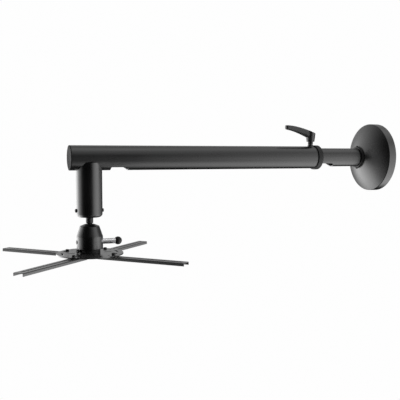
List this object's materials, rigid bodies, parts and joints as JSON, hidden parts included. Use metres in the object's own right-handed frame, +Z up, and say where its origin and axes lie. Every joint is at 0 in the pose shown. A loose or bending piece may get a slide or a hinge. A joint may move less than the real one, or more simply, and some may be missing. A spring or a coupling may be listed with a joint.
{
  "type": "projector wall mount",
  "caption": "Telescopic wall arm for a projector: round tubes with a clamp lever, a drop tube with a lockable ball joint, and a swivelling plate with adjustable channel arms.",
  "frame": {"origin": "centre of the wall plate's back face, on the wall", "axes": "+X into the wall, so the arm reaches along -X; +Z up; the tubes' axis is y = z = 0"},
  "size_m": [1.0183, 0.3896, 0.3337],
  "materials": {
    "black_paint": "satin black powder paint",
    "grey_black_sheet": "semi-gloss black paint on sheet steel",
    "black_plastic": "satin black plastic",
    "grey_plastic": "matt dark grey plastic",
    "nylon": "natural nylon",
    "bright_steel": "bright plated steel",
    "zinc_steel": "zinc-plated steel",
    "black_steel": "blackened steel",
    "brass": "plain brass",
    "aluminium": "turned aluminium"
  },
  "bodies": {
    "wall_bracket": {"wall_plate": "black_paint", "inner_tube": "black_paint", "slide_ring": "nylon"},
    "cover": {"wall_cover": "black_paint", "cover_ring": "black_plastic", "ring_screw_top": "black_steel", "ring_screw_bottom": "black_steel"},
    "arm": {"outer_tube": "black_paint", "end_cap": "grey_plastic", "front_collar": "black_plastic", "clamp_boss": "black_paint", "clamp_pad": "brass", "drop_tube": "black_paint", "drop_plug": "aluminium", "drop_screw_left": "black_steel", "drop_screw_right": "black_steel", "stud_nut": "zinc_steel", "ball_stud": "black_steel"},
    "clamp_stud": {"clamp_insert": "black_steel", "lever_screw": "zinc_steel", "lever_spring": "zinc_steel"},
    "clamp_handle": {"clamp_lever": "black_plastic"},
    "liner": {"ball_liner": "nylon"},
    "bell": {"bell_housing": "black_paint", "bell_cap": "black_paint", "ball_seat": "nylon", "retaining_screw": "black_steel"},
    "lock": {"lock_rod": "bright_steel", "lock_knob": "black_plastic"},
    "hub": {"hub_spigot": "black_paint", "hub_side_screw": "black_steel", "spider_plate": "grey_black_sheet", "hub_screw_1": "zinc_steel", "hub_screw_2": "zinc_steel", "hub_screw_3": "zinc_steel", "hub_screw_4": "zinc_steel", "arm_spacer_back_right": "nylon", "arm_spacer_back_left": "nylon", "arm_spacer_front_left": "nylon", "arm_spacer_front_right": "nylon"},
    "bolt_back_right": {"arm_screw_back_right": "black_steel", "arm_nut_back_right": "zinc_steel"},
    "spider_back_right": {"arm_back_right": "grey_black_sheet"},
    "bolt_back_left": {"arm_screw_back_left": "black_steel", "arm_nut_back_left": "zinc_steel"},
    "spider_back_left": {"arm_back_left": "grey_black_sheet"},
    "bolt_front_left": {"arm_screw_front_left": "black_steel", "arm_nut_front_left": "zinc_steel"},
    "spider_front_left": {"arm_front_left": "grey_black_sheet"},
    "bolt_front_right": {"arm_screw_front_right": "black_steel", "arm_nut_front_right": "zinc_steel"},
    "spider_front_right": {"arm_front_right": "grey_black_sheet"}
  },
  "joints": [
    {"name": "cover_slide", "type": "slide", "parent": "wall_bracket", "child": "cover", "axis": [-1, 0, 0], "range_m": [0, 0.035]},
    {"name": "arm_slide", "type": "slide", "parent": "wall_bracket", "child": "arm", "axis": [-1, 0, 0], "range_m": [-0.08, 0.3]},
    {"name": "clamp_turn", "type": "hinge", "parent": "arm", "child": "clamp_stud", "pos_m": [-0.214, 0, 0.0427], "axis": [0, 0, 1], "continuous": true},
    {"name": "lever_lift", "type": "slide", "parent": "clamp_stud", "child": "clamp_handle", "axis": [0, 0, 1], "range_m": [0, 0.003], "stiffness_N_per_m": 500, "springref_m": -0.002, "deforming": ["lever_spring"]},
    {"name": "ball_pitch", "type": "hinge", "parent": "arm", "child": "liner", "pos_m": [-0.8235, 0, -0.17284], "axis": [0, 1, 0], "range_deg": [-8, 8]},
    {"name": "ball_roll", "type": "hinge", "parent": "liner", "child": "bell", "pos_m": [-0.8235, 0, -0.17284], "axis": [1, 0, 0], "range_deg": [-8, 8]},
    {"name": "lock_turn", "type": "hinge", "parent": "bell", "child": "lock", "pos_m": [-0.7541, 0, -0.202], "axis": [1, 0, 0], "continuous": true},
    {"name": "hub_swivel", "type": "hinge", "parent": "bell", "child": "hub", "pos_m": [-0.8235, 0, -0.2284], "axis": [0, 0, 1], "continuous": true},
    {"name": "swing_back_right", "type": "hinge", "parent": "hub", "child": "bolt_back_right", "pos_m": [-0.77566, 0.04619, -0.233], "axis": [0, 0, 1], "range_deg": [-30, 30]},
    {"name": "reach_back_right", "type": "slide", "parent": "bolt_back_right", "child": "spider_back_right", "axis": [0.7193, 0.6947, 0], "range_m": [-0.006, 0.02]},
    {"name": "swing_back_left", "type": "hinge", "parent": "hub", "child": "bolt_back_left", "pos_m": [-0.86969, 0.04784, -0.233], "axis": [0, 0, 1], "range_deg": [-30, 30]},
    {"name": "reach_back_left", "type": "slide", "parent": "bolt_back_left", "child": "spider_back_left", "axis": [-0.6947, 0.7193, 0], "range_m": [-0.006, 0.02]},
    {"name": "swing_front_left", "type": "hinge", "parent": "hub", "child": "bolt_front_left", "pos_m": [-0.87134, -0.04619, -0.233], "axis": [0, 0, 1], "range_deg": [-30, 30]},
    {"name": "reach_front_left", "type": "slide", "parent": "bolt_front_left", "child": "spider_front_left", "axis": [-0.7193, -0.6947, 0], "range_m": [-0.006, 0.02]},
    {"name": "swing_front_right", "type": "hinge", "parent": "hub", "child": "bolt_front_right", "pos_m": [-0.77731, -0.04784, -0.233], "axis": [0, 0, 1], "range_deg": [-30, 30]},
    {"name": "reach_front_right", "type": "slide", "parent": "bolt_front_right", "child": "spider_front_right", "axis": [0.6947, -0.7193, 0], "range_m": [-0.006, 0.02]}
  ]
}
